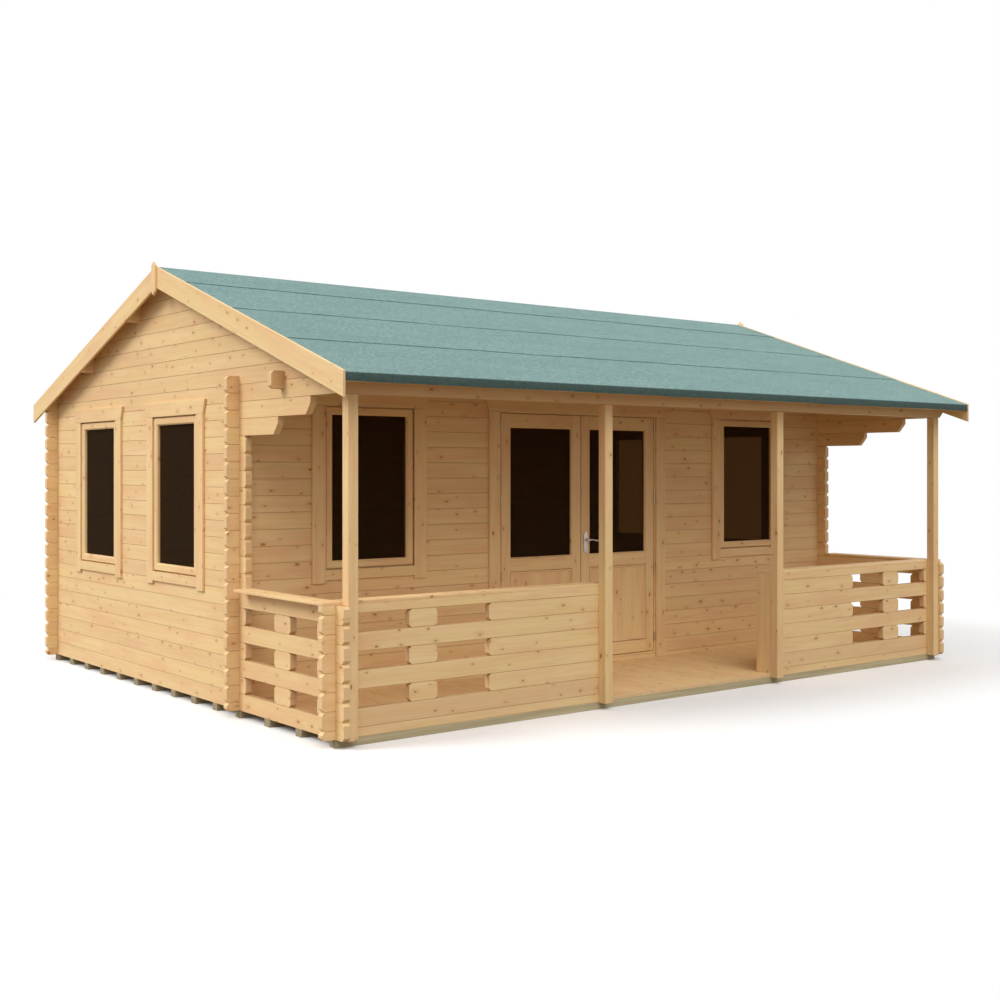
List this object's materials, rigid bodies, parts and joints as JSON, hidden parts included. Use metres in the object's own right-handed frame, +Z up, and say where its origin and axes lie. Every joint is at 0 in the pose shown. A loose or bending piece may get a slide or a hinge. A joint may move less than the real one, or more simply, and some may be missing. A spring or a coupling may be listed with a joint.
{
  "type": "log cabin",
  "caption": "Log cabin with a gabled felt roof, glazed double doors that swing outward, framed windows and a railed veranda under the roof's front slope.",
  "frame": {"origin": "on the ground in the middle of the building's outer box, under the ridge", "axes": "+Z up, +X along the ridge to the right-hand gable, -Y towards the veranda and doors"},
  "size_m": [6.3166, 5.202, 3.1577],
  "materials": {
    "timber": "planed bare pine",
    "joinery": "planed bare pine",
    "bearer_timber": "pressure-treated, sawn",
    "roofing_felt": "mineral-coated, matte",
    "window_glass": "clear",
    "satin_steel": "satin"
  },
  "bodies": {
    "cabin": {"back_wall": "timber", "bargeboards": "joinery", "bearers": "bearer_timber", "deck": "joinery", "door_frame": "joinery", "eaves_beam": "joinery", "eaves_boards": "joinery", "finials": "joinery", "floor": "joinery", "frame_hinges": "satin_steel", "front_felt": "roofing_felt", "front_roof_boards": "joinery", "front_sill_log": "timber", "front_wall_left": "timber", "front_wall_right": "timber", "front_wall_top": "timber", "left_front_rail": "timber", "left_gable": "timber", "left_wall_corbels": "timber", "left_wall_lower": "timber", "left_wall_middle": "timber", "outside_trims": "joinery", "purlins": "joinery", "rail_caps": "joinery", "rail_end_boards": "joinery", "rear_felt": "roofing_felt", "rear_roof_boards": "joinery", "ridge_felt": "roofing_felt", "right_front_rail": "timber", "right_gable": "timber", "right_wall_corbels": "timber", "right_wall_lower": "timber", "right_wall_middle": "timber", "veranda_posts": "joinery", "veranda_tie_log": "timber", "window_frames": "joinery", "window_panes": "window_glass"},
    "left_leaf": {"left_door": "joinery", "left_door_pane": "window_glass", "left_door_hinges": "satin_steel"},
    "right_leaf": {"right_door": "joinery", "right_door_pane": "window_glass", "right_door_hinges": "satin_steel", "handle_plates": "satin_steel"},
    "lever": {"door_lever": "satin_steel"}
  },
  "joints": [
    {"name": "left_door_swing", "type": "hinge", "parent": "cabin", "child": "left_leaf", "pos_m": [-0.819, -1.11065, 1], "axis": [0, 0, -1], "range_deg": [0, 110]},
    {"name": "right_door_swing", "type": "hinge", "parent": "cabin", "child": "right_leaf", "pos_m": [0.819, -1.11065, 1], "axis": [0, 0, 1], "range_deg": [0, 110]},
    {"name": "lever_turn", "type": "hinge", "parent": "right_leaf", "child": "lever", "pos_m": [0.048, -1.083, 1.083], "axis": [0, 1, 0], "range_deg": [0, 45], "stiffness_Nm_per_rad": 1.5, "springref_deg": -22.92}
  ]
}
